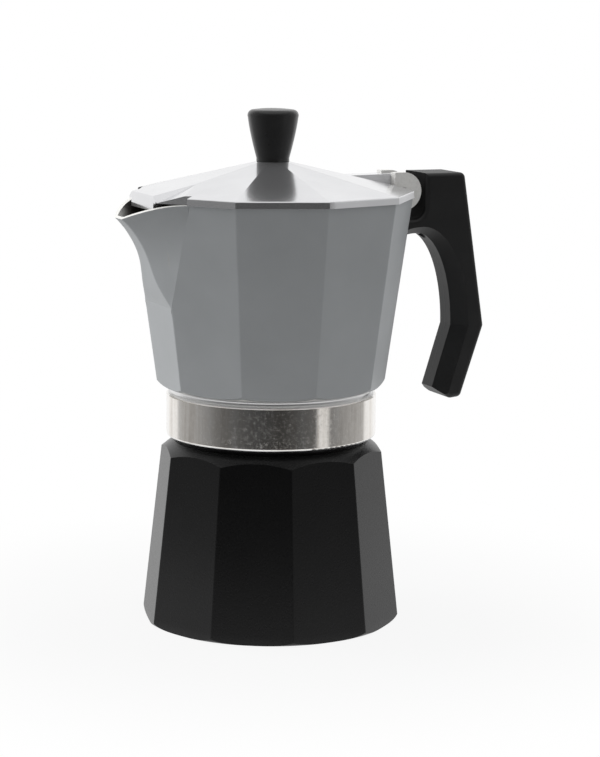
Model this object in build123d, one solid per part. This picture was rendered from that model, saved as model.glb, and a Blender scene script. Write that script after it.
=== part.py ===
from build123d import *
import os
from math import atan, cos, dist, pi, radians, sin, sqrt, tan

# A ten-sided stove-top coffee pot. Millimetres and degrees, Z up, origin at the
# middle of the foot. The handle points along +X and the spout along -X.

# Shared form
SIDES = 10
SECTOR = 360 / SIDES
QUARTER_TURN = 90
HALF_SECTOR = radians(SECTOR / 2)

# Fits and clearances
running_fit = 0.05
push_fit = 0.1
thread_gap = 0.4
swing_gap = 0.4
seat_gap = 0.05
tool_margin = 5.0
tool_reach = 20.0

# Boiler
boiler_foot_apothem = 47.5
boiler_taper = 0.107
boiler_turn = -11.8
boiler_edge_round = 1.2
foot_round = 3.0
shoulder_height = 69.2
shoulder_top_radius = 37.4
shoulder_slope = 0.8
neck_radius = 35.2
neck_bore_radius = 32.0
neck_height = 14.3
boiler_floor = 3.6
boiler_wall = 3.4
boiler_inside_round = 4.0
boiler_roof_wall = 4.2

# Screw thread between boiler and collector
thread_pitch = 3.0
thread_turns = 2.5
thread_depth = 1.0
thread_root_width = 1.3
thread_crest_width = 0.7
thread_start = 2.6
thread_sink = 0.5

# Collector collar and body
collar_radius = 40.0
collar_gap = 2.0
collar_height = 16.3
collar_round = 1.0
cove_height = 2.4
cove_depth = 0.9
body_foot_apothem = 41.3
body_flare = 0.1327
body_height = 71.7
body_wall = 2.6
body_edge_round = 1.3
body_foot_round = 8.1
body_foot_step = 0.55
body_foot_reach = 6.6
body_foot_rise = 7.2
floor_thickness = 4.0
chamber_round = 3.0

# Coffee column inside the collector
column_foot_radius = 9.0
column_top_radius = 6.2
column_height = 50.0
column_bore_radius = 3.8
column_cap = 3.5
outlet_width = 4.4
outlet_height = 7.0
throat_radius = 20.0
throat_height = 2.6

# Spout: where it starts, how far its creases run into the side facets, and stations
# of (share of the spout's height, reach of the front beyond the facet, half width of the front)
spout_start = 33.0
spout_crease_run = 13.0
spout_back = 30.0
spout_stations = (
    (-0.103, -0.6, 9.0),
    (0.0, 0.03, 14.2),
    (0.129, 1.4, 10.9),
    (0.284, 2.6, 7.2),
    (0.439, 3.4, 5.4),
    (0.594, 5.2, 4.85),
    (0.749, 8.5, 4.5),
    (0.835, 11.3, 4.2),
    (1.034, 17.5, 4.0),
)
hollow_start = (0.103, -1.5, 9.0)
ridge_round = 2.0
spout_wall = 1.8
lip_tip_drop = 6.4
lip_mid_reach = 55.0
lip_mid_drop = 2.7
lip_back_reach = 43.0
lip_tip_reach = 61.3

# Lid
lid_apothem = 51.85
lid_band = 2.5
lid_slope = 0.238
lid_edge_round = 0.6
lid_rim_width = 4.3
lid_underside_rise = 10.0
knob_seat_rise = 13.5
tab_half_width = 12.0
tab_bevel = 0.7
beak_pitch = 0.385
beak_drop = 2.5
recess_back = 3.2
recess_front = 1.4
apron_drop = 3.0
apron_thickness = 3.4
apron_half_width = 12.4

# Hinge
pin_radius = 1.5
pin_reach = 50.8
pin_rise = 1.6
ear_radius = 7.25
ear_inner = 4.5
ear_outer = 8.5
ear_top_rise = 7.2
ear_front_reach = 47.0
ear_foot_angle = -105.0
pin_proud = 0.4
knuckle_radius = 6.5
knuckle_low_radius = 4.0
knuckle_start_angle = 50.0
knuckle_low_angle = 30.0
tongue_front_reach = 30.0
hinge_notch_reach = 42.2

# Handle
handle_half_width = 10.0
handle_face_half = 4.5
handle_top_rise = 8.4
handle_back_top = 76.2
handle_elbow_reach = 85.5
handle_elbow_height = 110.2
handle_end_reach = 76.1
handle_end_height = 82.4
handle_tip_inset = 4.7
handle_tip_drop = 0.5
grip_end_inset = 10.2
grip_end_rise = 3.6
grip_elbow_reach = 73.5
arch_centre_reach = 58.5
arch_crown_drop = 15.0
arch_front_reach = 48.0
arch_front_drop = 2.6
bevel_reach = 5.2
bevel_rise = 2.9
recess_reach = 59.4
recess_floor_drop = 9.2
recess_round = 5.0
handle_corner_round = 2.2
handle_edge_round = 1.8

# Handle fixing: a cast tongue in a pocket, and a screw up through it
tongue_half_width = 6.0
tongue_thickness = 2.0
tongue_drop = 12.4
tongue_reach = 68.0
screw_reach = 60.0
screw_radius = 2.0
screw_head_radius = 3.2
screw_head_height = 1.3
screw_length = 5.0
screw_seat_drop = 13.6
washer_thickness = 0.4
washer_radius = 3.6

# Screw heads, as shares of the head's height and radius
head_round_share = 0.33
slot_length_share = 1.2
slot_width_share = 0.25

# Knob
knob_profile = ((6.2, 0.0), (6.2, 1.2), (7.1, 4.6), (8.5, 10.6), (9.5, 16.4))
knob_height = 19.3
knob_rim_round = 2.0
knob_crown = 0.5
insert_radius = 2.9
insert_length = 9.0
insert_flange_radius = 3.8
insert_flange = 1.2
knob_screw_radius = 2.0
knob_screw_head_radius = 3.6
knob_screw_head_height = 2.4
knob_screw_length = 9.0
knob_washer_radius = 4.6
knob_washer_thickness = 0.7

# Funnel and filters
flange_radius = 35.0
flange_thickness = 1.0
basket_radius = 31.0
basket_depth = 22.0
sheet = 1.0
stem_radius = 5.6
stem_foot_gap = 4.5
cone_height = 9.0
screen_thickness = 0.8
gasket_thickness = 3.5
gasket_bore_radius = 28.2
gasket_outer_radius = 36.2
plate_thickness = 0.9
plate_drop = 2.4
plate_rim_width = 2.0
hole_radius = 0.75
hole_pitch = 4.2
hole_rings = 5

# Safety valve on the back of the boiler
valve_facet = 2
valve_height = 41.0
valve_thread_radius = 5.0
valve_shank = 6.5
valve_washer_thickness = 0.8
valve_washer_radius = 7.6
valve_hex = 7.0
valve_hex_height = 4.2
valve_nose_radius = 5.0
valve_nose = 3.0
valve_bore_radius = 3.3
valve_inlet_radius = 1.8
valve_inlet = 2.2
valve_head = 1.5
valve_stem_radius = 1.2
valve_stem_proud = 1.2
valve_cap_thickness = 1.4
valve_cap_recess = 0.5
spring_wire = 0.6
spring_turns = 5
spring_radius = 2.25
spring_samples = 60

# Levels worked out from the sizes above
neck_top = shoulder_height + neck_height
flange_top = neck_top + flange_thickness
seat_level = flange_top + gasket_thickness
floor_level = seat_level + floor_thickness
collar_bottom = shoulder_height + collar_gap
collar_top = collar_bottom + collar_height
body_bottom = collar_top + cove_height
rim_level = body_bottom + body_height
lid_bottom = rim_level + seat_gap
lid_band_top = lid_bottom + lid_band
pin_level = rim_level + pin_rise
knob_seat = lid_bottom + knob_seat_rise
collar_bore = neck_radius + thread_depth + thread_gap
spout_level = body_bottom + spout_start
spout_height = rim_level - spout_level
handle_top = rim_level + handle_top_rise
arch_crown = rim_level - arch_crown_drop
recess_floor = rim_level - recess_floor_drop
tongue_height = rim_level - tongue_drop
screw_seat = rim_level - screw_seat_drop
handle_tip_reach = handle_end_reach - handle_tip_inset
handle_tip_height = handle_end_height - handle_tip_drop
grip_end_reach = handle_end_reach - grip_end_inset
grip_end_height = handle_end_height + grip_end_rise
boiler_block_top = shoulder_height + tool_margin
lid_ceiling = lid_bottom + lid_underside_rise


def body_apothem(z):
    """Distance from the axis to the collector's facets at height z."""
    return body_foot_apothem + body_flare * (z - body_bottom)


def boiler_apothem(z):
    """Distance from the axis to the boiler's facets at height z."""
    return boiler_foot_apothem - boiler_taper * z


def decagon(apothem, z, turn=0.0):
    """Ten-sided face at height z, with a flat facing the angle turn."""
    outline = RegularPolygon(apothem, SIDES, major_radius=False, rotation=turn + SECTOR / 2)
    return Plane.XY.offset(z) * outline


def rising_edges(solid):
    """Edges of a tapered ten-sided solid that run from bottom to top."""
    return solid.edges().filter_by(lambda edge: abs((edge @ 1).Z - (edge @ 0).Z) > tool_margin)


def tapered_decagon(apothem_at, low, high, turn, edge_round):
    """Ten-sided tapered block with softened upright edges."""
    foot = decagon(apothem_at(low), low, turn)
    head = decagon(apothem_at(high), high, turn)
    block = loft([foot, head], ruled=True)
    return fillet(rising_edges(block), edge_round)


def turned(points):
    """Solid of revolution about Z from a closed list of (radius, height) points."""
    return revolve(Plane.XZ * make_face(Polyline(*points, close=True)), Axis.Z)


def ring(outer, inner, low, high):
    """Plain ring about Z."""
    face = Circle(outer) - Circle(inner)
    return extrude(Plane.XY.offset(low) * face, high - low)


def disc(radius, low, high):
    """Plain disc about Z."""
    return extrude(Plane.XY.offset(low) * Circle(radius), high - low)


def dome_arc(radius, low, rise):
    """Arc of a shallow dome, from a rim at the given radius up to the axis."""
    bend = (radius**2 + rise**2) / (2 * rise)
    return RadiusArc((radius, low), (0, low + rise), -bend)


def side_plate(face, low, high):
    """Extrude a face drawn in X and Z across Y, from low to high."""
    return extrude(Plane.XZ.offset(-low) * face, high - low, dir=(0, 1, 0))


def pin_cylinder(radius, low, high):
    """Cylinder about the hinge axis between two Y values."""
    middle = (low + high) / 2
    return Location((pin_reach, middle, pin_level), (QUARTER_TURN, 0, 0)) * Cylinder(radius, high - low)


def helical_ridge(radius, depth, bottom):
    """Thread ridge that stands out from a cylinder by depth, inward if it is negative."""
    path = Helix(thread_pitch, thread_pitch * thread_turns, radius, center=(0, 0, bottom))
    plane = Plane(origin=path @ 0, x_dir=(1, 0, 0), z_dir=path % 0)
    sink = -thread_sink if depth > 0 else thread_sink
    outline = Polyline(
        (sink, -thread_root_width / 2),
        (depth, -thread_crest_width / 2),
        (depth, thread_crest_width / 2),
        (sink, thread_root_width / 2),
        close=True,
    )
    return sweep(plane * make_face(outline), path=path, is_frenet=True)


def hole_pattern(limit):
    """Centres of a round perforation pattern that stays inside the radius limit."""
    spots = [(0.0, 0.0)]
    for circle in range(1, hole_rings + 1):
        reach = circle * hole_pitch
        if reach > limit:
            break
        count = 6 * circle
        for step in range(count):
            angle = 2 * pi * step / count
            spots.append((reach * cos(angle), reach * sin(angle)))
    return spots


def perforated_disc(radius, low, thickness, limit):
    """Thin disc with a pattern of round holes."""
    holes = [Pos(x, y) * Circle(hole_radius) for x, y in hole_pattern(limit)]
    return extrude(Plane.XY.offset(low) * (Circle(radius) - holes), thickness)


# Safety valve placing
valve_angle = radians(boiler_turn + SECTOR * valve_facet)
valve_lean = atan(boiler_taper)
valve_normal = Vector(
    cos(valve_angle) * cos(valve_lean),
    sin(valve_angle) * cos(valve_lean),
    sin(valve_lean),
)
valve_seat_point = Vector(
    boiler_apothem(valve_height) * cos(valve_angle),
    boiler_apothem(valve_height) * sin(valve_angle),
    valve_height,
)
valve_across = (-sin(valve_angle), cos(valve_angle), 0)
valve_plane = Plane(origin=valve_seat_point, x_dir=valve_across, z_dir=valve_normal)
valve_hex_top = valve_washer_thickness + valve_hex_height
valve_top = valve_hex_top + valve_nose
valve_stem_end = valve_top + valve_stem_proud
valve_cap_top = valve_top - valve_cap_recess
valve_cap_bottom = valve_cap_top - valve_cap_thickness
valve_chamber = valve_inlet - valve_shank
valve_head_top = valve_chamber + valve_head


def make_boiler():
    """Ten-sided water vessel with a threaded neck and a hole for the valve."""
    block = tapered_decagon(boiler_apothem, 0, boiler_block_top, boiler_turn, boiler_edge_round)
    foot_radius = boiler_foot_apothem / cos(HALF_SECTOR)
    cone_foot = shoulder_height - shoulder_slope * (foot_radius - shoulder_top_radius)
    outline = make_face(
        Polyline((foot_radius, foot_round), (foot_radius, cone_foot), (shoulder_top_radius, shoulder_height))
        + Line((shoulder_top_radius, shoulder_height), (0, shoulder_height))
        + Polyline((0, shoulder_height), (0, 0), (foot_radius - foot_round, 0))
        + RadiusArc((foot_radius - foot_round, 0), (foot_radius, foot_round), -foot_round)
    )
    outside = block & revolve(Plane.XZ * outline, Axis.Z)
    outside += disc(neck_radius, shoulder_height - tool_margin, neck_top)
    outside += helical_ridge(neck_radius, thread_depth, shoulder_height + thread_start)
    bottom_radius = boiler_apothem(boiler_floor) - boiler_wall
    roof_level = shoulder_height - boiler_roof_wall
    roof_run = boiler_apothem(roof_level) - boiler_wall - neck_bore_radius
    roof_slope_foot = roof_level - shoulder_slope * roof_run
    inside = turned((
        (0, boiler_floor),
        (bottom_radius, boiler_floor),
        (boiler_apothem(roof_slope_foot) - boiler_wall, roof_slope_foot),
        (neck_bore_radius, roof_level),
        (neck_bore_radius, neck_top + tool_margin),
        (0, neck_top + tool_margin),
    ))
    corner = inside.edges().filter_by(GeomType.CIRCLE).sort_by(Axis.Z)[0]
    inside = fillet(corner, boiler_inside_round)
    hole = valve_plane * Cylinder(valve_thread_radius, tool_reach)
    return outside - inside - hole


def make_funnel():
    """Coffee basket with a flange, a cone and a stem that reaches into the water."""
    bottom = flange_top - basket_depth
    cone_foot = bottom - cone_height
    stem_foot = boiler_floor + stem_foot_gap
    ledge = basket_radius - 2 * sheet
    return turned((
        (flange_radius, neck_top),
        (flange_radius, flange_top),
        (basket_radius - sheet, flange_top),
        (basket_radius - sheet, bottom),
        (ledge - sheet, bottom),
        (stem_radius - sheet, cone_foot),
        (stem_radius - sheet, stem_foot),
        (stem_radius, stem_foot),
        (stem_radius, cone_foot),
        (ledge, bottom - sheet),
        (basket_radius, bottom - sheet),
        (basket_radius, neck_top),
    ))


def make_basket_screen():
    """Perforated disc that carries the coffee in the basket."""
    bottom = flange_top - basket_depth
    radius = basket_radius - sheet - push_fit
    return perforated_disc(radius, bottom, screen_thickness, radius - 2 * hole_pitch)


def make_gasket():
    """Flat rubber ring between the funnel and the collector."""
    return ring(gasket_outer_radius, gasket_bore_radius, flange_top, seat_level)


def make_filter_plate():
    """Perforated plate with a turned-up rim that bears on the collector's seat."""
    radius = gasket_bore_radius - push_fit
    low = seat_level - plate_drop
    plate = perforated_disc(radius, low, plate_thickness, radius - hole_pitch)
    return plate + ring(radius, radius - plate_rim_width / 2, low, seat_level)


def spout_section(share, reach, half_width, inset):
    """Flat section of the spout: two cheeks and a narrow front, drawn in by inset."""
    height = spout_level + share * spout_height
    apothem = body_apothem(height)
    run = spout_crease_run * max(share, 0)
    tuck = inset + 2 * max(-reach, 0)
    crease_x = apothem - run * sin(radians(SECTOR)) - tuck
    crease_y = apothem * tan(HALF_SECTOR) + run * cos(radians(SECTOR)) - tuck
    front_x = apothem + reach - inset
    front_y = half_width - inset / 2
    section = make_face(Polyline(
        (-crease_x, crease_y),
        (-front_x, front_y),
        (-front_x, -front_y),
        (-crease_x, -crease_y),
        (-spout_back, -crease_y),
        (-spout_back, crease_y),
        close=True,
    ))
    ridges = section.vertices().sort_by(Axis.X)[:2]
    return Plane.XY.offset(height) * fillet(ridges, ridge_round)


def spout_block(stations, inset):
    """Smooth block of the spout through its stations."""
    return loft([spout_section(*station, inset) for station in stations])


def lip_cutter():
    """Block above the rim and the drooping lip of the spout."""
    top = rim_level + tool_reach
    far = lip_tip_reach + tool_reach
    tip = (-lip_tip_reach, rim_level - lip_tip_drop)
    middle = (-lip_mid_reach, rim_level - lip_mid_drop)
    start = (-lip_back_reach, rim_level)
    outline = ThreePointArc(start, middle, tip)
    outline += Polyline(
        tip,
        (-far, rim_level - 2 * lip_tip_drop),
        (-far, top),
        (far, top),
        (far, rim_level),
        start,
    )
    return side_plate(make_face(outline), -2 * collar_radius, 2 * collar_radius)


def ear_outline():
    """Side view of one hinge ear: round behind the pin, square in front."""
    top = pin_level + ear_top_rise
    back = sqrt(ear_radius**2 - ear_top_rise**2)
    foot_angle = radians(ear_foot_angle)
    foot = (pin_reach + ear_radius * cos(foot_angle), pin_level + ear_radius * sin(foot_angle))
    outer = ThreePointArc((pin_reach + back, top), (pin_reach + ear_radius, pin_level), foot)
    inner = Polyline(
        foot,
        (foot[0], rim_level - seat_gap),
        (ear_front_reach, rim_level + ear_top_rise / 4),
        (ear_front_reach, top),
        (pin_reach + back, top),
    )
    return make_face(outer + inner)


def make_collector():
    """Upper pot in one casting: collar, faceted body, spout, column, ears and handle tongue."""
    overlap = body_bottom + tool_margin
    cove = ThreePointArc(
        (collar_radius - collar_round, collar_top),
        (collar_radius - collar_round - cove_depth, collar_top + cove_height / 2),
        (collar_radius - collar_round, body_bottom),
    )
    low_corner = (collar_radius - collar_round, collar_bottom)
    side_foot = (collar_radius, collar_bottom + collar_round)
    collar_outline = make_face(
        RadiusArc(low_corner, side_foot, -collar_round)
        + Polyline(
            side_foot,
            (collar_radius, collar_top - collar_round / 2),
            (collar_radius - collar_round, collar_top),
        )
        + cove
        + Polyline(
            (collar_radius - collar_round, body_bottom),
            (collar_radius - collar_round, overlap),
            (0, overlap),
            (0, collar_bottom),
            low_corner,
        )
    )
    collar = revolve(Plane.XZ * collar_outline, Axis.Z)

    block = tapered_decagon(body_apothem, body_bottom, rim_level + tool_reach, 0, body_edge_round)
    wide = lip_tip_reach + tool_reach
    foot_start = (collar_radius - collar_round + body_foot_step, body_bottom)
    foot_end = (foot_start[0] + body_foot_reach, body_bottom + body_foot_rise)
    foot_outline = make_face(
        Line((0, body_bottom), foot_start)
        + RadiusArc(foot_start, foot_end, -body_foot_round)
        + Polyline(
            foot_end,
            (wide, foot_end[1] + 2 * tool_margin),
            (wide, rim_level + tool_reach + tool_margin),
            (0, rim_level + tool_reach + tool_margin),
            (0, body_bottom),
        )
    )
    body = block & revolve(Plane.XZ * foot_outline, Axis.Z)
    body += collar
    body -= spout_clearing()
    body += spout_block(spout_stations, 0)
    chamber_top = rim_level + tool_reach
    inside_round = body_edge_round + chamber_round
    chamber = tapered_decagon(chamber_apothem, floor_level, chamber_top, 0, inside_round)
    chamber_floor = chamber.edges().group_by(Axis.Z)[0]
    body -= fillet(chamber_floor, chamber_round)
    body -= spout_block((hollow_start,) + spout_stations[3:], spout_wall)
    body -= lip_cutter()
    body -= disc(collar_bore, collar_bottom - tool_margin, seat_level)
    thread_foot = shoulder_height + thread_start + thread_pitch / 2
    body += helical_ridge(collar_bore, -thread_depth, thread_foot)
    body += coffee_column()
    body -= column_passage()
    body += handle_tongue(0)
    for side in (-1, 1):
        low, high = sorted((side * ear_inner, side * ear_outer))
        body += side_plate(ear_outline(), low, high)
    body -= pin_cylinder(knuckle_low_radius + swing_gap, -ear_inner, ear_inner)
    body -= pin_cylinder(pin_radius + running_fit, -2 * ear_outer, 2 * ear_outer)
    return body - handle_screw_hole()


def chamber_apothem(z):
    """Distance from the axis to the inside of the collector's facets."""
    return body_apothem(z) - body_wall


def spout_clearing():
    """Wedge in front of the crease lines, where the spout takes the place of the facets."""
    top = rim_level + tool_reach
    far = lip_tip_reach + tool_reach
    slant = spout_crease_run * sin(radians(SECTOR)) / spout_height
    foot_x = body_apothem(spout_level)
    top_x = body_apothem(top) - slant * (top - spout_level)
    outline = Polyline((-foot_x, spout_level), (-top_x, top), (-far, top), (-far, spout_level), close=True)
    return side_plate(make_face(outline), -far, far)


def coffee_column():
    """Tapered column with a domed head, standing on the collector's floor."""
    top = floor_level + column_height
    shoulder = top - column_cap / 2
    outline = Polyline(
        (0, floor_level - floor_thickness / 4),
        (column_foot_radius, floor_level - floor_thickness / 4),
        (column_top_radius, shoulder),
    )
    outline += dome_arc(column_top_radius, shoulder, column_cap / 2)
    outline += Line((0, top), (0, floor_level - floor_thickness / 4))
    return revolve(Plane.XZ * make_face(outline), Axis.Z)


def column_passage():
    """Throat, bore and the two outlets that the coffee flows through."""
    bore_top = floor_level + column_height - column_cap
    passage = turned((
        (0, seat_level - tool_margin),
        (throat_radius, seat_level - tool_margin),
        (throat_radius, seat_level),
        (column_bore_radius, seat_level + throat_height),
        (column_bore_radius, bore_top),
        (0, bore_top),
    ))
    outlet = Box(outlet_width, 4 * column_foot_radius, outlet_height)
    return passage + Pos(0, 0, bore_top - outlet_height / 2) * outlet


def handle_tongue(clearance):
    """Cast tongue that holds the handle, or its pocket where clearance is given."""
    low = tongue_height - clearance
    high = tongue_height + tongue_thickness + clearance
    root = body_apothem(low) - body_wall / 2
    tip = tongue_reach + clearance
    half = tongue_half_width + clearance
    middle = ((root + tip) / 2, 0, (low + high) / 2)
    return Location(middle) * Box(tip - root, 2 * half, high - low)


def handle_screw_hole():
    """Hole for the handle screw through the handle and the tongue."""
    hole = disc(screw_radius + push_fit, screw_seat - tool_margin, screw_seat + screw_length)
    return Pos(screw_reach) * hole


def make_hinge_pin():
    """Steel pin through the ears and the lid's knuckle."""
    return pin_cylinder(pin_radius, -ear_outer - pin_proud, ear_outer + pin_proud)


def knuckle_outline():
    """Side view of the lid's tongue and knuckle."""
    top = (pin_reach, pin_level + knuckle_radius)
    start = radians(knuckle_start_angle)
    nose = (pin_reach + knuckle_radius * cos(start), pin_level + knuckle_radius * sin(start))
    middle = pi / 4 + start / 2
    bend = (pin_reach + knuckle_radius * cos(middle), pin_level + knuckle_radius * sin(middle))
    low = radians(knuckle_low_angle)
    low_level = pin_level - knuckle_low_radius * sin(low)
    low_right = (pin_reach + knuckle_low_radius * cos(low), low_level)
    low_left = (pin_reach - knuckle_low_radius * cos(low), low_level)
    front_level = lid_band_top + lid_slope * (lid_apothem - tongue_front_reach)
    outline = ThreePointArc(top, bend, nose)
    outline += Line(nose, low_right)
    outline += ThreePointArc(low_right, (pin_reach, pin_level - knuckle_low_radius), low_left)
    outline += Polyline(
        low_left,
        (hinge_notch_reach, lid_bottom),
        (tongue_front_reach, front_level - lid_band),
        (tongue_front_reach, front_level),
        top,
    )
    return make_face(outline)


def beak_recess(side):
    """Tapered cut in the rim next to the spout, seen from a facet that faces +X."""
    corner = -side * lid_apothem * tan(HALF_SECTOR)
    outer = lid_apothem + tool_margin
    back = corner + side * spout_crease_run
    taper = (recess_back - recess_front) / spout_crease_run
    past = corner - side * tool_margin
    outline = Polyline(
        (outer, back),
        (lid_apothem - recess_back, back),
        (lid_apothem - recess_front + taper * tool_margin, past),
        (outer, past),
        close=True,
    )
    return extrude(Plane.XY.offset(lid_bottom - lid_band) * make_face(outline), 3 * lid_band)


def tab_side(far, high):
    """Space above the bevel beside the tab over the spout, on the +Y side."""
    faces = []
    for x in (-far, 0):
        edge = lid_band_top + lid_slope * (lid_apothem + x)
        low = edge - tab_bevel * (far - tab_half_width)
        outline = Polyline((tab_half_width, edge), (far, low), (far, high), (tab_half_width, high), close=True)
        faces.append(Plane.YZ.offset(x) * make_face(outline))
    return loft(faces, ruled=True)


def make_lid():
    """Ten-sided roof with a rim band, a tab over the spout between sunken corners, and a knuckle."""
    tip_apothem = lid_apothem - (knob_seat - lid_band_top) / lid_slope
    lid = extrude(decagon(lid_apothem, lid_bottom), lid_band)
    lid += loft([decagon(lid_apothem, lid_band_top), decagon(tip_apothem, knob_seat)], ruled=True)
    lid = fillet(lid.edges().filter_by(lambda edge: edge.center().Z == lid_band_top), lid_edge_round)
    far = lid_apothem + 2 * tool_margin
    high = knob_seat + tool_margin
    front_level = lid_band_top - beak_drop
    meet = lid_apothem - beak_drop / (beak_pitch - lid_slope)
    beak = Polyline(
        (-far, front_level - beak_pitch * (far - lid_apothem)),
        (-meet, front_level + beak_pitch * (lid_apothem - meet)),
        (-meet, high),
        (-far, high),
        close=True,
    )
    for side in (-1, 1):
        lid -= Rot(0, 0, 180 + side * SECTOR) * beak_recess(side)
    hollow_apothem = lid_apothem - lid_rim_width
    hollow_tip = hollow_apothem - lid_underside_rise / lid_slope
    lid -= loft([decagon(hollow_apothem, lid_bottom), decagon(hollow_tip, lid_ceiling)], ruled=True)
    apron_low = lid_bottom - apron_drop
    apron_top = lid_band_top - lid_edge_round
    apron_middle = (apron_thickness / 2 - lid_apothem, 0, (apron_low + apron_top) / 2)
    apron = Box(apron_thickness, 2 * apron_half_width, apron_top - apron_low)
    lid += Location(apron_middle) * apron
    corner = side_plate(make_face(beak), 0, far) & tab_side(far, high)
    lid -= corner
    lid -= mirror(corner, about=Plane.XZ)
    notch_half = ear_outer + swing_gap
    notch = Box(far, 2 * notch_half, tool_reach, align=(Align.MIN, Align.CENTER, Align.CENTER))
    lid -= Pos(hinge_notch_reach, 0, lid_band_top) * notch
    rear = Polyline(
        (pin_reach - pin_rise / 2, lid_bottom),
        (far, lid_bottom),
        (far, pin_level),
        (lid_apothem + seat_gap, pin_level - pin_rise / 2),
        close=True,
    )
    lid -= side_plate(make_face(rear), -far, far)
    knuckle_half = ear_inner - swing_gap
    knuckle = side_plate(knuckle_outline(), -knuckle_half, knuckle_half)
    lid += knuckle
    lid -= pin_cylinder(pin_radius + running_fit, -far, far)
    lid -= disc(knob_screw_radius + push_fit, lid_bottom, high)
    return lid


def make_knob():
    """Flared knob with a rounded rim and a pocket for its insert."""
    top = knob_seat + knob_height
    wide = knob_profile[-1][0]
    side = [(radius, knob_seat + rise) for radius, rise in knob_profile]
    outline = Polyline((0, top + knob_crown), (0, knob_seat), side[0], side[1])
    outline += Spline(*side[1:])
    corner = (wide - knob_rim_round, top)
    bend = knob_rim_round * (1 - cos(pi / 4))
    outline += ThreePointArc(side[-1], (wide - bend, top - bend), corner)
    outline += dome_arc(corner[0], top, knob_crown)
    knob = revolve(Plane.XZ * make_face(outline), Axis.Z)
    knob -= disc(insert_radius, knob_seat, knob_seat + insert_length)
    knob -= disc(insert_flange_radius, knob_seat, knob_seat + insert_flange)
    return knob


def make_knob_insert():
    """Threaded brass insert moulded into the knob."""
    insert = disc(insert_radius - seat_gap, knob_seat, knob_seat + insert_length - seat_gap)
    insert += disc(insert_flange_radius - seat_gap, knob_seat, knob_seat + insert_flange - seat_gap)
    return insert - disc(knob_screw_radius + seat_gap, knob_seat - tool_margin, knob_seat + knob_height)


def make_knob_washer():
    """Washer between the screw head and the lid."""
    low = lid_ceiling - knob_washer_thickness
    return ring(knob_washer_radius, knob_screw_radius + push_fit, low, lid_ceiling)


def pan_screw(radius, head_radius, head_height, length, seat):
    """Upright screw whose head hangs below its seat, with a cross slot."""
    screw = disc(radius, seat, seat + length)
    head = disc(head_radius, seat - head_height, seat)
    head = fillet(head.edges().group_by(Axis.Z)[0], head_height * head_round_share)
    slot = Box(head_radius * slot_length_share, head_radius * slot_width_share, head_height)
    for turn in (0, QUARTER_TURN):
        head -= Location((0, 0, seat - head_height), (0, 0, turn)) * slot
    return screw + head


def make_knob_screw():
    """Screw that holds the knob from inside the lid."""
    seat = lid_ceiling - knob_washer_thickness
    head = (knob_screw_head_radius, knob_screw_head_height)
    return pan_screw(knob_screw_radius, *head, knob_screw_length, seat)


def finger_face(reach, rise):
    """Side view of the finger space, grown by reach behind and by rise at the crown."""
    elbow_x = grip_elbow_reach + reach
    crown = arch_crown + rise
    front = body_foot_apothem - tool_margin
    foot = grip_end_height - tool_reach
    grip_drop = handle_elbow_height - grip_end_height
    lean = (grip_elbow_reach - grip_end_reach) / grip_drop
    foot_x = elbow_x - lean * (handle_elbow_height - foot)
    centre = (arch_centre_reach, handle_elbow_height)
    half_span = elbow_x - arch_centre_reach
    arch = EllipticalCenterArc(centre, half_span, crown - handle_elbow_height, 0, arc_size=QUARTER_TURN)
    front_end = (arch_front_reach, crown - arch_front_drop)
    outline = arch + TangentArc((arch_centre_reach, crown), front_end, tangent=(-1, 0))
    outline += Polyline(
        front_end,
        (front, front_end[1]),
        (front, foot),
        (foot_x, foot),
        (elbow_x, handle_elbow_height),
    )
    return make_face(outline)


def finger_space():
    """Finger space with its bevelled sides."""
    past = handle_half_width + tool_margin
    growth = past - handle_face_half
    share = growth / (handle_half_width - handle_face_half)
    space = side_plate(finger_face(0, 0), -handle_face_half, handle_face_half)
    for side in (-1, 1):
        inner = Plane.XZ.offset(-side * handle_face_half) * finger_face(0, 0)
        outer = Plane.XZ.offset(-side * past) * finger_face(bevel_reach * share, bevel_rise * share)
        space += loft([inner, outer], ruled=True)
    return space


def make_handle():
    """Angular moulded handle with a finger arch, a hinge recess and a pocket for the tongue."""
    front_top = body_apothem(recess_floor) + seat_gap
    front_low = body_apothem(grip_end_height) + seat_gap
    corner = recess_round * (1 - cos(pi / 4))
    outline = Line((front_top, recess_floor), (recess_reach - recess_round, recess_floor))
    outline += ThreePointArc(
        (recess_reach - recess_round, recess_floor),
        (recess_reach - corner, recess_floor + corner),
        (recess_reach, recess_floor + recess_round),
    )
    outline += Polyline(
        (recess_reach, recess_floor + recess_round),
        (recess_reach, handle_top),
        (handle_back_top, handle_top),
        (handle_elbow_reach, handle_elbow_height),
        (handle_end_reach, handle_end_height),
        (handle_tip_reach, handle_tip_height),
        (grip_end_reach, grip_end_height),
        (front_low, grip_end_height),
        (front_top, recess_floor),
    )
    handle = side_plate(make_face(outline), -handle_half_width, handle_half_width)
    handle = fillet(handle.edges().filter_by(Axis.Y).sort_by(Axis.X)[-4:], handle_corner_round)
    side_edges = handle.edges().group_by(Axis.Y)
    handle = fillet(side_edges[0] + side_edges[-1], handle_edge_round)
    handle -= finger_space()
    handle -= handle_tongue(push_fit)
    handle -= handle_screw_hole()
    return handle - Pos(screw_reach) * disc(washer_radius + swing_gap, handle_elbow_height, screw_seat)


def make_valve_body():
    """Brass valve body: hexagon, nose and threaded shank with a stepped bore."""
    hexagon = RegularPolygon(valve_hex, 6, major_radius=False)
    body = extrude(Plane.XY.offset(valve_washer_thickness) * hexagon, valve_hex_height)
    body += disc(valve_nose_radius, valve_hex_top, valve_top)
    body += disc(valve_thread_radius - seat_gap, -valve_shank, valve_washer_thickness)
    body -= disc(valve_bore_radius, valve_chamber, valve_top)
    body -= disc(valve_inlet_radius, -valve_shank, valve_chamber)
    return body


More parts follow.
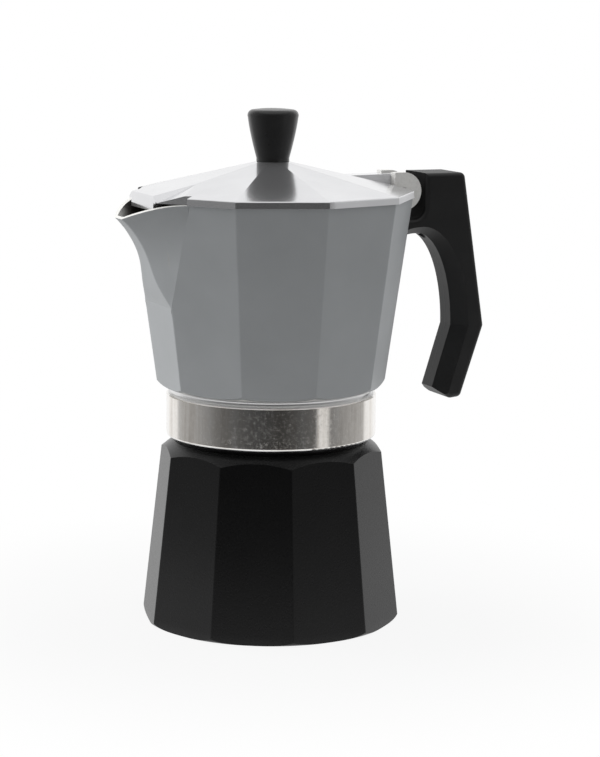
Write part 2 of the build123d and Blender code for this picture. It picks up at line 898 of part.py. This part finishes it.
def make_valve_plunger():
    """Plunger that seals the inlet, with a stem that shows outside."""
    head = disc(valve_bore_radius - push_fit, valve_chamber + seat_gap, valve_head_top)
    return head + disc(valve_stem_radius, valve_head_top, valve_stem_end)


def make_valve_cap():
    """Ring that closes the valve's outer end and guides the stem."""
    outer = valve_bore_radius - seat_gap
    return ring(outer, valve_stem_radius + running_fit, valve_cap_bottom, valve_cap_top)


def coil_gap(path):
    """Smallest gap between points of the spring's wire that lie at least half a turn apart."""
    count = spring_turns * spring_samples
    spots = [tuple(path @ (step / count)) for step in range(count + 1)]
    gaps = []
    for start in range(count):
        for end in range(start + spring_samples // 2, count + 1):
            gaps.append(dist(spots[start], spots[end]) - spring_wire)
    return min(gaps)


def make_valve_spring():
    """Coil spring between the plunger's head and the cap."""
    low = valve_head_top + spring_wire / 2 + seat_gap
    high = valve_cap_bottom - spring_wire / 2 - seat_gap
    pitch = (high - low) / spring_turns
    path = Helix(pitch, high - low, spring_radius, center=(0, 0, low))
    plane = Plane(origin=path @ 0, x_dir=(1, 0, 0), z_dir=path % 0)
    print("valve spring gap between turns", round(coil_gap(path), 2))
    return sweep(plane * Circle(spring_wire / 2), path=path, is_frenet=True)


def make_valve_washer():
    """Sealing washer under the valve's hexagon."""
    return ring(valve_washer_radius, valve_thread_radius + seat_gap, 0, valve_washer_thickness)


def make_handle_washer():
    """Washer under the head of the handle screw."""
    low = screw_seat - washer_thickness
    return Pos(screw_reach) * ring(washer_radius, screw_radius + push_fit, low, screw_seat)


def make_handle_screw():
    """Screw that goes up through the handle and the tongue."""
    seat = screw_seat - washer_thickness
    screw = pan_screw(screw_radius, screw_head_radius, screw_head_height, screw_length, seat)
    return Pos(screw_reach) * screw


parts = {
    "boiler": make_boiler(),
    "valve_body": valve_plane * make_valve_body(),
    "valve_washer": valve_plane * make_valve_washer(),
    "valve_plunger": valve_plane * make_valve_plunger(),
    "valve_spring": valve_plane * make_valve_spring(),
    "valve_cap": valve_plane * make_valve_cap(),
    "funnel": make_funnel(),
    "basket_screen": make_basket_screen(),
    "gasket": make_gasket(),
    "filter_plate": make_filter_plate(),
    "collector": make_collector(),
    "hinge_pin": make_hinge_pin(),
    "handle": make_handle(),
    "handle_washer": make_handle_washer(),
    "handle_screw": make_handle_screw(),
    "lid": make_lid(),
    "knob": make_knob(),
    "knob_insert": make_knob_insert(),
    "knob_washer": make_knob_washer(),
    "knob_screw": make_knob_screw(),
}

os.makedirs("parts", exist_ok=True)
for name, shape in parts.items():
    export_step(shape, f"parts/{name}.step")
    print(name, round(shape.volume), [round(v, 2) for v in shape.bounding_box().size])
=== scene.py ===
from math import cos, pi, radians, sin

import bpy
from mathutils import Matrix, Vector

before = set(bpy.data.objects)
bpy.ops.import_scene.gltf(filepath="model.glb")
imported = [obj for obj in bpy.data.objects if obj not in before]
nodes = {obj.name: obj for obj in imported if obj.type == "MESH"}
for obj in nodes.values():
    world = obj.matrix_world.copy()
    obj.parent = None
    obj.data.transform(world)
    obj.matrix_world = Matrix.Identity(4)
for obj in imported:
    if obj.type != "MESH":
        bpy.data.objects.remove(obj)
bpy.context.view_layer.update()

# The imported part: sides of its plan, heights and reaches in millimetres, and the flare of the body as
# reach over height
SIDES = 10
BODY_FOOT = 89.9
BODY_FOOT_APOTHEM = 41.3
BODY_FLARE = 0.1327
RIM = 161.6
COLLAR_RADIUS = 40.0
COLLAR_LOW = 71.2
COLLAR_HIGH = 87.5
CHAMBER_FLOOR = 92.0

# Millimetres to the metre, and the least radius in millimetres that is divided by
MM_PER_METRE = 1000.0
LEAST_RADIUS = 0.1

# Edges between the finishes of the collector and of the painted shade in its chamber, as (none, full).
# Distances from the outer wall, heights and reaches are in millimetres; the shares say how far a surface
# looks outward or up
INSIDE_DEPTH = (-0.9, -1.3)
INWARD = (0.12, 0.04)
OUTWARD = (0.04, 0.12)
UPWARD = (0.45, 0.65)
LIP_HEIGHT = (150.0, 151.0)
EAR_REACH = (47.0, 47.3)
EAR_CLEARANCE = (0.12, 0.3)
ABOVE_RIM = (RIM - 0.2, RIM + 0.1)
ABOVE_CHAMBER_FLOOR = (CHAMBER_FLOOR - 1.0, CHAMBER_FLOOR - 0.5)
BELOW_BODY = (BODY_FOOT + 0.1, BODY_FOOT - 0.1)
COVE = (COLLAR_HIGH - 0.5, COLLAR_HIGH + 0.1)
FOOT_LINE = (COLLAR_LOW + 1.0, COLLAR_LOW + 0.4)

# Edges on the other pieces, as (none, full): the boiler's rubbed foot, the part of the lid left as cast,
# and the hinge recess of the handle, which is darkened with painted shade, and its parting line
RUBBED_FOOT = (4.0, 0.5)
LID_STEEP = (0.9, 0.8)
LID_CAST = (0.0, 4.0)
POCKET_REACH = (59.7, 59.5)
POCKET_FLOOR = (152.1, 152.3)
POCKET_ACROSS = (0.7, 0.5)
PARTING_LINE = (0.22, 0.05)

# Ranges of a noise: from the dark to the light tone, and as (none, full) for specks and marks
TONE_RANGE = (0.3, 0.75)
LID_TONE_RANGE = (0.3, 0.7)
COLLAR_SPECKS = (0.4, 0.75)
LID_MARKS = (0.66, 0.74)

# Scale of one direction in a noise, which draws it out into streaks, rings or fibres
STREAK_SCALE = 0.05
BRUSHED_SCALE = 0.06
RING_SCALE = 0.8
FIBRE_SCALE = 0.3

# Shares of the collar's painted reflection streaks, and reliefs measured against the grain of the same
# finish
WIDE_SHARE = 0.75
MOTTLE_SHARE = 0.2
FINE_SHARE = 0.35
PORE_RELIEF = 2.0
TURNED_RELIEF = 0.3
PARTING_RELIEF = 1.6

# How metallic bare castings and the polished lid are, and roughness where it is even
CAST_METALLIC = 0.1
LID_METALLIC = 0.88
SPECK_ROUGH = 0.24
TRIM_ROUGH = 0.36
LID_CAST_ROUGH = 0.42
POCKET_ROUGH = 0.9

# Sockets of the Mix node: the share and the two values, then the result
MIX_COLOUR_INPUTS = (0, 6, 7)
MIX_COLOUR_OUTPUT = 2
MIX_NUMBER_INPUTS = (0, 2, 3)
MIX_NUMBER_OUTPUT = 0

# Camera, fitted to the photo: place in metres, turns in degrees, focal length in pixels
IMAGE_WIDTH = 600
FOCAL_PIXELS = 2326.0
SENSOR_WIDTH = 36.0
CAMERA_REACH = 0.8768
CAMERA_HEIGHT = 0.2358
CAMERA_AZIMUTH = 112.04
PAN = -0.717
PITCH = 9.294
ROLL = 0.519

# Studio: the side that stays dark, reflections as (place from back to front, level), a pale card
# beside the camera and one overhead with the spread of their edges, light from back to front, and
# its share from below the horizon
STUDIO_FRONT = (-0.375, -0.927, 0.0)
STUDIO_UP = (0.0, 0.0, 1.0)
STUDIO_REFLECTION = ((0.0, 1.0), (0.21, 0.95), (0.25, 0.48), (0.5, 0.36), (0.75, 0.16), (1.0, 0.045))
STUDIO_CARD = (0.594, -0.788, -0.16)
CARD_EDGE = (0.984, 0.997)
CARD_LEVEL = 0.8
OVERHEAD_EDGE = (0.62, 0.85)
OVERHEAD_LEVEL = 0.95
STUDIO_LIGHT = (0.5, 0.56)
STUDIO_BELOW = 0.3
HORIZON = (-0.4, 0.1)
WHITE = (1.0, 1.0, 1.0, 1.0)

# Floor: radius and the ring in which it turns plain white, in metres, and its level near the pot
FLOOR_REACH = 0.3
FLOOR_CORNERS = 96
FLOOR_FADE = (0.07, 0.2)
FLOOR_GLOW = 0.9
FLOOR_COLOUR = (0.45, 0.45, 0.45, 1.0)

# Soft lights: place in metres, power in watts, width and height; all aim at one place
SOFTBOXES = {
    "softbox_left": ((-0.9, 0.8, 0.55), 15.0, 0.9, 1.1),
    "softbox_right": ((1.15, 0.15, 0.55), 8.0, 0.9, 1.1),
    "softbox_top": ((0.0, 0.3, 1.5), 6.0, 1.0, 1.0),
}
SOFTBOX_AIM = (0.0, 0.0, 0.1)


class Tree:
    """Short calls that add nodes to one cleared node tree."""

    def __init__(self, owner):
        owner.use_nodes = True
        self.tree = owner.node_tree
        self.tree.nodes.clear()
        self.coordinates = self.add("ShaderNodeTexCoord")

    def add(self, kind, **settings):
        """Add a node and set its properties."""
        node = self.tree.nodes.new(kind)
        for key, value in settings.items():
            setattr(node, key, value)
        return node

    def join(self, source, target):
        """Link a socket, or set the value where source is a number or a colour."""
        if isinstance(source, bpy.types.NodeSocket):
            self.tree.links.new(source, target)
        else:
            target.default_value = source

    def maths(self, operation, *values):
        """Math node on sockets or numbers."""
        node = self.add("ShaderNodeMath", operation=operation)
        for value, target in zip(values, node.inputs):
            self.join(value, target)
        return node.outputs[0]

    def step(self, value, none, full):
        """Smooth step from 0 at none to 1 at full."""
        node = self.add("ShaderNodeMapRange", interpolation_type="SMOOTHSTEP")
        self.join(value, node.inputs["Value"])
        if none < full:
            bounds = (none, full, 0.0, 1.0)
        else:
            bounds = (full, none, 1.0, 0.0)
        for target, bound in zip(("From Min", "From Max", "To Min", "To Max"), bounds):
            node.inputs[target].default_value = bound
        return node.outputs[0]

    def spread(self, value, low, high):
        """Turn 0 to 1 into low to high."""
        node = self.add("ShaderNodeMapRange")
        self.join(value, node.inputs["Value"])
        node.inputs["To Min"].default_value = low
        node.inputs["To Max"].default_value = high
        return node.outputs[0]

    def vector(self, x, y, z):
        """Vector from three numbers or sockets."""
        node = self.add("ShaderNodeCombineXYZ")
        for value, target in zip((x, y, z), node.inputs):
            self.join(value, target)
        return node.outputs[0]

    def parts(self, vector):
        """X, Y and Z of a vector."""
        node = self.add("ShaderNodeSeparateXYZ")
        self.join(vector, node.inputs[0])
        return node.outputs

    def dot(self, first, second):
        """Dot product of two vectors."""
        node = self.add("ShaderNodeVectorMath", operation="DOT_PRODUCT")
        self.join(first, node.inputs[0])
        self.join(second, node.inputs[1])
        return node.outputs["Value"]

    def ramp(self, value, *stops):
        """Colour ramp from stops of (place, colour)."""
        node = self.add("ShaderNodeValToRGB")
        points = node.color_ramp.elements
        while len(points) < len(stops):
            points.new(1.0)
        for point, (place, colour) in zip(points, stops):
            point.position = place
            point.color = (*colour, 1.0)
        self.join(value, node.inputs["Fac"])
        return node.outputs["Color"]

    def tones(self, value, dark, light, ends=TONE_RANGE):
        """Colour that goes from dark to light between two values of a noise."""
        return self.ramp(value, *zip(ends, (dark, light)))

    def mix(self, share, first, second):
        """Blend two colours."""
        node = self.add("ShaderNodeMix", data_type="RGBA")
        for source, place in zip((share, first, second), MIX_COLOUR_INPUTS):
            if isinstance(source, tuple):
                source = (*source, 1.0)
            self.join(source, node.inputs[place])
        return node.outputs[MIX_COLOUR_OUTPUT]

    def blend(self, share, first, second):
        """Blend two numbers."""
        node = self.add("ShaderNodeMix", data_type="FLOAT")
        for source, place in zip((share, first, second), MIX_NUMBER_INPUTS):
            self.join(source, node.inputs[place])
        return node.outputs[MIX_NUMBER_OUTPUT]

    def any_ray(self, *kinds):
        """1 for rays of any of the given kinds."""
        path = self.add("ShaderNodeLightPath")
        share = path.outputs[kinds[0]]
        for kind in kinds[1:]:
            share = self.maths("MAXIMUM", share, path.outputs[kind])
        return share


class Shader(Tree):
    """One node material with a Principled shader, and the place on the part in millimetres."""

    def __init__(self, name, **settings):
        self.material = bpy.data.materials.new(name)
        super().__init__(self.material)
        self.surface = self.add("ShaderNodeBsdfPrincipled")
        output = self.add("ShaderNodeOutputMaterial")
        self.join(self.surface.outputs["BSDF"], output.inputs["Surface"])
        for socket, value in settings.items():
            self.set(socket.replace("_", " "), value)
        scaled = self.add("ShaderNodeVectorMath", operation="SCALE")
        self.join(self.coordinates.outputs["Object"], scaled.inputs[0])
        scaled.inputs["Scale"].default_value = MM_PER_METRE
        self.place = scaled.outputs[0]
        self.x, self.y, self.z = self.parts(self.place)

    def set(self, socket, source):
        """Give the surface shader's socket a value or a link."""
        self.join(source, self.surface.inputs[socket])

    def noise(self, size, detail=2.0, rough=0.5, place=None):
        """Noise with features of about the given size in millimetres, from 0 to 1."""
        node = self.add("ShaderNodeTexNoise")
        self.join(place or self.place, node.inputs["Vector"])
        node.inputs["Scale"].default_value = 1.0 / size
        node.inputs["Detail"].default_value = detail
        node.inputs["Roughness"].default_value = rough
        return node.outputs["Fac"]

    def bump(self, height, depth):
        """Give the surface a relief of the given depth in millimetres."""
        node = self.add("ShaderNodeBump")
        node.inputs["Distance"].default_value = depth / MM_PER_METRE
        self.join(height, node.inputs["Height"])
        self.set("Normal", node.outputs[0])

    def facing(self):
        """Parts along X, Y and Z of the way the surface looks."""
        return self.parts(self.coordinates.outputs["Normal"])

    def radius(self):
        """Distance from the pot's axis in millimetres."""
        squares = self.maths("MULTIPLY_ADD", self.x, self.x, self.maths("MULTIPLY", self.y, self.y))
        return self.maths("SQRT", squares)


def boiler_paint():
    """Satin black paint with a fine orange-peel skin and faint rub marks near the foot."""
    skin = Shader("boiler_paint", Specular_IOR_Level=0.25)
    cloud = skin.noise(size=14.0, detail=3.0)
    grain = skin.noise(size=0.6)
    scuffs = skin.noise(size=2.2, detail=4.0, rough=0.6)
    rub = skin.maths("MULTIPLY", skin.step(skin.z, *RUBBED_FOOT), scuffs)
    tone = skin.tones(cloud, (0.0035, 0.0035, 0.0037), (0.005, 0.005, 0.0052))
    skin.set("Base Color", skin.mix(rub, tone, (0.02, 0.02, 0.0205)))
    skin.set("Roughness", skin.spread(grain, low=0.24, high=0.34))
    skin.bump(grain, depth=0.03)
    return skin.material


def collector_finish():
    """Grey satin paint, bare cast rim and ears, painted shade darkening the chamber, and a specked,
    mirror-finished collar with painted reflections in streaks.
    """
    skin = Shader("collector_finish")
    facing_x, facing_y, facing_z = skin.facing()
    radius = skin.radius()
    sector = 2 * pi / SIDES
    angle = skin.maths("ARCTAN2", skin.y, skin.x)
    whole = skin.maths("FLOORED_MODULO", skin.maths("ADD", angle, sector / 2), sector)
    folded = skin.maths("SUBTRACT", whole, sector / 2)
    apothem = skin.maths("MULTIPLY", radius, skin.maths("COSINE", folded))
    risen = skin.maths("SUBTRACT", skin.z, BODY_FOOT)
    wall = skin.maths("MULTIPLY_ADD", risen, BODY_FLARE, BODY_FOOT_APOTHEM)
    beyond = skin.maths("SUBTRACT", apothem, wall)
    along = skin.maths("MULTIPLY_ADD", facing_x, skin.x, skin.maths("MULTIPLY", facing_y, skin.y))
    outward = skin.maths("DIVIDE", along, skin.maths("MAXIMUM", radius, LEAST_RADIUS))

    inside = skin.maths("MAXIMUM", skin.step(beyond, *INSIDE_DEPTH), skin.step(outward, *INWARD))
    lip = skin.maths("MULTIPLY", skin.step(facing_z, *UPWARD), skin.step(skin.z, *LIP_HEIGHT))
    ears = skin.maths("MULTIPLY", skin.step(skin.x, *EAR_REACH), skin.step(beyond, *EAR_CLEARANCE))
    bare = skin.maths("MAXIMUM", lip, skin.maths("MAXIMUM", ears, skin.step(skin.z, *ABOVE_RIM)))
    cast = skin.maths("MAXIMUM", inside, bare)
    # Painted shade: the inside of the chamber, above its floor and away from bare metal, is darkened to a
    # brownish near-black.
    chamber = skin.maths("MULTIPLY", inside, skin.step(skin.z, *ABOVE_CHAMBER_FLOOR))
    shaded_chamber = skin.maths("MULTIPLY", chamber, skin.maths("SUBTRACT", 1.0, bare))
    collar = skin.step(skin.z, *BELOW_BODY)
    outside_collar = skin.maths("MULTIPLY", collar, skin.step(outward, *OUTWARD))
    trim = skin.maths("MAXIMUM", skin.step(skin.z, *COVE), skin.step(skin.z, *FOOT_LINE))

    grain = skin.noise(size=0.5)
    cloud = skin.noise(size=18.0, detail=3.0)
    paint = skin.tones(cloud, (0.338, 0.352, 0.362), (0.368, 0.383, 0.394))
    # Painted shade colour for the inside of the chamber.
    chamber_shade = skin.tones(cloud, (0.06, 0.056, 0.05), (0.11, 0.104, 0.095))

    pores = skin.noise(size=0.9, detail=3.0, rough=0.55)
    metal = skin.ramp(
        pores,
        (0.25, (0.72, 0.715, 0.69)),
        (0.5, (0.8, 0.795, 0.77)),
        (0.8, (0.84, 0.835, 0.815)),
    )

    # Painted reflections: wide, fine and mottled streaks run down the collar, and a ramp turns them from
    # dark brownish to light grey to stand for the studio mirrored in the polish. The cove and the foot edge
    # take a plain light grey instead.
    arc = skin.maths("MULTIPLY", angle, COLLAR_RADIUS)
    streak_place = skin.vector(arc, 0.0, skin.maths("MULTIPLY", skin.z, STREAK_SCALE))
    wide = skin.noise(size=9.0, place=streak_place)
    fine = skin.noise(size=1.3, detail=3.0, rough=0.7, place=streak_place)
    mottle = skin.noise(size=2.4, detail=4.0, rough=0.65)
    streaks = skin.maths("MULTIPLY_ADD", wide, WIDE_SHARE, skin.maths("MULTIPLY", mottle, MOTTLE_SHARE))
    streaks = skin.maths("MULTIPLY_ADD", fine, FINE_SHARE, streaks)
    collar_reflection_colour = skin.ramp(
        streaks,
        (0.4, (0.55, 0.515, 0.47)),
        (0.62, (0.79, 0.755, 0.71)),
        (0.84, (0.9, 0.885, 0.86)),
    )
    collar_reflection_colour = skin.mix(trim, collar_reflection_colour, (0.88, 0.88, 0.88))

    # Paint or bare metal, with the chamber's painted shade laid over them.
    colour = skin.mix(shaded_chamber, skin.mix(cast, paint, metal), chamber_shade)
    skin.set("Base Color", skin.mix(outside_collar, colour, collar_reflection_colour))
    skin.set("Metallic", skin.maths("MAXIMUM", skin.maths("MULTIPLY", cast, CAST_METALLIC), collar))

    paint_rough = skin.spread(grain, low=0.4, high=0.5)
    cast_rough = skin.spread(pores, low=0.34, high=0.46)
    turned = skin.noise(size=0.35, detail=1.0, place=skin.vector(0.0, 0.0, skin.z))
    turned_rough = skin.spread(turned, low=0.05, high=0.12)
    specks = skin.step(skin.noise(size=1.1, detail=4.0, rough=0.7), *COLLAR_SPECKS)
    collar_rough = skin.blend(trim, skin.blend(specks, turned_rough, SPECK_ROUGH), TRIM_ROUGH)
    body_rough = skin.blend(cast, paint_rough, cast_rough)
    skin.set("Roughness", skin.blend(outside_collar, body_rough, collar_rough))

    relief = skin.blend(cast, grain, skin.maths("MULTIPLY", pores, PORE_RELIEF))
    relief = skin.blend(outside_collar, relief, skin.maths("MULTIPLY", turned, TURNED_RELIEF))
    skin.bump(relief, depth=0.02)
    return skin.material


def lid_metal():
    """Polished aluminium with a fine brushed grain and small marks; steep faces by the hinge are as cast."""
    skin = Shader("lid_metal")
    steep = skin.step(skin.facing()["Z"], *LID_STEEP)
    cast = skin.maths("MULTIPLY", steep, skin.step(skin.x, *LID_CAST))
    brushed_place = skin.vector(skin.maths("MULTIPLY", skin.x, BRUSHED_SCALE), skin.y, skin.z)
    brushed = skin.noise(size=0.5, rough=0.6, place=brushed_place)
    cloud = skin.noise(size=16.0, detail=3.0)
    marks = skin.step(skin.noise(size=1.6, detail=5.0, rough=0.7), *LID_MARKS)
    tone = skin.tones(cloud, (0.73, 0.732, 0.748), (0.79, 0.792, 0.806), ends=LID_TONE_RANGE)
    skin.set("Base Color", skin.mix(marks, tone, (0.66, 0.66, 0.66)))
    skin.set("Metallic", skin.spread(cast, low=LID_METALLIC, high=CAST_METALLIC))
    brushed_rough = skin.spread(brushed, low=0.1, high=0.18)
    skin.set("Roughness", skin.blend(cast, brushed_rough, LID_CAST_ROUGH))
    skin.bump(brushed, depth=0.003)
    return skin.material


def spun_metal():
    """Satin sheet aluminium with fine rings from spinning."""
    skin = Shader("spun_metal", Metallic=1.0)
    ring_place = skin.vector(skin.radius(), 0.0, skin.maths("MULTIPLY", skin.z, RING_SCALE))
    rings = skin.noise(size=0.35, rough=0.6, place=ring_place)
    cloud = skin.noise(size=9.0, detail=3.0)
    skin.set("Base Color", skin.tones(cloud, (0.6, 0.6, 0.605), (0.76, 0.76, 0.765)))
    skin.set("Roughness", skin.spread(rings, low=0.3, high=0.44))
    skin.bump(rings, depth=0.012)
    return skin.material


def handle_plastic():
    """Satin black moulded plastic with a fine eroded grain, a faint parting line and a rough hinge recess
    darkened with painted shade.
    """
    skin = Shader("handle_plastic", Specular_IOR_Level=0.36)
    grain = skin.noise(size=0.32, rough=0.6)
    cloud = skin.noise(size=12.0, detail=3.0)
    tone = skin.tones(cloud, (0.012, 0.012, 0.0123), (0.017, 0.017, 0.0174))
    # Painted shade: where the handle's hinge recess faces across and lies deep and high, it is painted
    # near-black. It is also made rougher.
    across = skin.step(skin.maths("ABSOLUTE", skin.facing()["Y"]), *POCKET_ACROSS)
    deep = skin.maths("MULTIPLY", across, skin.step(skin.x, *POCKET_REACH))
    shaded_recess = skin.maths("MULTIPLY", deep, skin.step(skin.z, *POCKET_FLOOR))
    skin.set("Base Color", skin.mix(shaded_recess, tone, (0.004, 0.004, 0.004)))
    satin_rough = skin.spread(cloud, low=0.42, high=0.52)
    skin.set("Roughness", skin.blend(shaded_recess, satin_rough, POCKET_ROUGH))
    line = skin.step(skin.maths("ABSOLUTE", skin.y), *PARTING_LINE)
    skin.bump(skin.maths("ADD", grain, skin.maths("MULTIPLY", line, PARTING_RELIEF)), depth=0.02)
    return skin.material


def knob_plastic():
    """Smooth black plastic with a soft gloss and faint rings."""
    skin = Shader("knob_plastic", Specular_IOR_Level=0.45)
    cloud = skin.noise(size=7.0, detail=3.0)
    rings = skin.noise(size=0.5, place=skin.vector(0.0, 0.0, skin.z))
    skin.set("Base Color", skin.tones(cloud, (0.017, 0.017, 0.0173), (0.023, 0.023, 0.0234)))
    skin.set("Roughness", skin.spread(cloud, low=0.24, high=0.34))
    skin.bump(rings, depth=0.006)
    return skin.material


def turned_brass():
    """Turned brass with faint tool marks and a dull cast here and there."""
    skin = Shader("turned_brass", Metallic=1.0)
    cloud = skin.noise(size=3.0, detail=3.0)
    marks = skin.noise(size=0.3, rough=0.6)
    skin.set("Base Color", skin.tones(cloud, (0.55, 0.36, 0.13), (0.74, 0.53, 0.22)))
    skin.set("Roughness", skin.spread(marks, low=0.24, high=0.38))
    skin.bump(marks, depth=0.01)
    return skin.material


def bright_steel():
    """Plated steel with a fine grain."""
    skin = Shader("bright_steel", Metallic=1.0)
    cloud = skin.noise(size=2.5, detail=3.0)
    marks = skin.noise(size=0.25, rough=0.6)
    skin.set("Base Color", skin.tones(cloud, (0.5, 0.5, 0.51), (0.64, 0.64, 0.65)))
    skin.set("Roughness", skin.spread(marks, low=0.24, high=0.36))
    skin.bump(marks, depth=0.008)
    return skin.material


def seal_rubber():
    """Off-white moulded rubber with a dusty skin."""
    skin = Shader("seal_rubber", Specular_IOR_Level=0.3)
    cloud = skin.noise(size=6.0, detail=4.0, rough=0.6)
    grain = skin.noise(size=0.4)
    skin.set("Base Color", skin.tones(cloud, (0.66, 0.64, 0.58), (0.78, 0.76, 0.71)))
    skin.set("Roughness", skin.spread(grain, low=0.58, high=0.72))
    skin.bump(grain, depth=0.03)
    return skin.material


def fibre_board():
    """Red-brown fibre washer with visible fibres."""
    skin = Shader("fibre_board", Specular_IOR_Level=0.25)
    fibre_place = skin.vector(skin.maths("MULTIPLY", skin.x, FIBRE_SCALE), skin.y, skin.z)
    fibres = skin.noise(size=0.5, detail=4.0, rough=0.7, place=fibre_place)
    skin.set("Base Color", skin.tones(fibres, (0.26, 0.05, 0.03), (0.46, 0.13, 0.08)))
    skin.set("Roughness", skin.spread(fibres, low=0.6, high=0.75))
    skin.bump(fibres, depth=0.05)
    return skin.material


def make_studio():
    """Studio that looks white, with soft light all round and reflections that darken toward the front."""
    world = bpy.data.worlds.new("studio")
    bpy.context.scene.world = world
    sky = Tree(world)
    direction = sky.coordinates.outputs["Generated"]
    front = sky.maths("MULTIPLY_ADD", sky.dot(direction, STUDIO_FRONT), 0.5, 0.5)
    mirrored = sky.ramp(front, *((place, (level,) * 3) for place, level in STUDIO_REFLECTION))
    card = sky.spread(sky.step(sky.dot(direction, STUDIO_CARD), *CARD_EDGE), 0.0, CARD_LEVEL)
    mirrored = sky.maths("MAXIMUM", mirrored, card)
    rise = sky.dot(direction, STUDIO_UP)
    overhead = sky.spread(sky.step(rise, *OVERHEAD_EDGE), 0.0, OVERHEAD_LEVEL)
    mirrored = sky.maths("MAXIMUM", mirrored, overhead)
    height = sky.step(rise, *HORIZON)
    lit = sky.maths("MULTIPLY", sky.spread(front, *STUDIO_LIGHT), sky.spread(height, STUDIO_BELOW, 1.0))
    level = sky.blend(sky.any_ray("Is Glossy Ray"), lit, mirrored)
    level = sky.blend(sky.any_ray("Is Camera Ray", "Is Transmission Ray"), level, 1.0)
    background = sky.add("ShaderNodeBackground")
    background.inputs["Color"].default_value = WHITE
    sky.join(level, background.inputs["Strength"])
    output = sky.add("ShaderNodeOutputWorld")
    sky.join(background.outputs[0], output.inputs["Surface"])


def make_floor():
    """Round pale floor that keeps the shadow near the pot and turns plain white further out."""
    mesh = bpy.data.meshes.new("floor")
    turns = [2 * pi * corner / FLOOR_CORNERS for corner in range(FLOOR_CORNERS)]
    edge = [(FLOOR_REACH * cos(turn), FLOOR_REACH * sin(turn), 0.0) for turn in turns]
    mesh.from_pydata(edge, [], [tuple(range(FLOOR_CORNERS))])
    floor = bpy.data.objects.new("floor", mesh)
    bpy.context.scene.collection.objects.link(floor)
    material = bpy.data.materials.new("floor")
    mesh.materials.append(material)
    ground = Tree(material)
    distance = ground.add("ShaderNodeVectorMath", operation="LENGTH")
    ground.join(ground.coordinates.outputs["Object"], distance.inputs[0])
    plain = ground.spread(ground.step(distance.outputs["Value"], *FLOOR_FADE), FLOOR_GLOW, 1.0)
    seen = ground.any_ray("Is Camera Ray", "Is Glossy Ray", "Is Transmission Ray")
    matt = ground.add("ShaderNodeBsdfDiffuse")
    matt.inputs["Color"].default_value = FLOOR_COLOUR
    glow = ground.add("ShaderNodeEmission")
    both = ground.add("ShaderNodeMixShader")
    ground.join(ground.maths("MULTIPLY", seen, plain), both.inputs[0])
    ground.join(matt.outputs[0], both.inputs[1])
    ground.join(glow.outputs[0], both.inputs[2])
    output = ground.add("ShaderNodeOutputMaterial")
    ground.join(both.outputs[0], output.inputs["Surface"])


def add_softbox(name, place, power, width, height):
    """Rectangular soft light aimed at the pot, kept out of its reflections."""
    lamp = bpy.data.lights.new(name, "AREA")
    lamp.shape = "RECTANGLE"
    lamp.size = width
    lamp.size_y = height
    lamp.energy = power
    box = bpy.data.objects.new(name, lamp)
    bpy.context.scene.collection.objects.link(box)
    box.location = place
    box.visible_glossy = False
    aim = Vector(SOFTBOX_AIM) - Vector(place)
    box.rotation_euler = aim.to_track_quat("-Z", "Y").to_euler()


def add_camera():
    """Camera at the photo's place, turned by the fitted pan, pitch and roll."""
    pan, pitch, roll = radians(PAN), radians(PITCH), radians(ROLL)
    azimuth = radians(CAMERA_AZIMUTH)
    across = Vector((sin(azimuth), cos(azimuth), 0.0))
    toward = Vector((cos(azimuth), -sin(azimuth), 0.0))

    def in_part_frame(x, y, z):
        """Direction in the part's frame of one given as right, toward the camera and up."""
        return across * x + toward * y + Vector((0.0, 0.0, z))

    right = in_part_frame(cos(pan), -sin(pan), 0.0)
    forward = in_part_frame(-sin(pan) * cos(pitch), -cos(pan) * cos(pitch), -sin(pitch))
    up = in_part_frame(-sin(pan) * sin(pitch), -cos(pan) * sin(pitch), cos(pitch))
    turned_right = right * cos(roll) + up * sin(roll)
    turned_up = up * cos(roll) - right * sin(roll)
    lens = bpy.data.cameras.new("camera")
    lens.sensor_fit = "HORIZONTAL"
    lens.sensor_width = SENSOR_WIDTH
    lens.lens = FOCAL_PIXELS / IMAGE_WIDTH * SENSOR_WIDTH
    camera = bpy.data.objects.new("camera", lens)
    bpy.context.scene.collection.objects.link(camera)
    turn = Matrix((turned_right, turned_up, -forward)).transposed().to_4x4()
    stand = toward * CAMERA_REACH + Vector((0.0, 0.0, CAMERA_HEIGHT))
    camera.matrix_world = Matrix.Translation(stand) @ turn
    bpy.context.scene.camera = camera


finishes = {
    boiler_paint(): ("boiler",),
    collector_finish(): ("collector",),
    lid_metal(): ("lid",),
    spun_metal(): ("funnel", "basket_screen", "filter_plate"),
    handle_plastic(): ("handle",),
    knob_plastic(): ("knob",),
    turned_brass(): ("valve_body", "valve_plunger", "valve_cap", "knob_insert"),
    bright_steel(): (
        "hinge_pin",
        "handle_washer",
        "handle_screw",
        "knob_washer",
        "knob_screw",
        "valve_spring",
    ),
    seal_rubber(): ("gasket",),
    fibre_board(): ("valve_washer",),
}
for finish, names in finishes.items():
    for name in names:
        data = nodes[name].data
        data.materials.clear()
        data.materials.append(finish)

make_studio()
make_floor()
for name, softbox in SOFTBOXES.items():
    add_softbox(name, *softbox)
add_camera()
bpy.context.scene.view_settings.view_transform = "Standard"
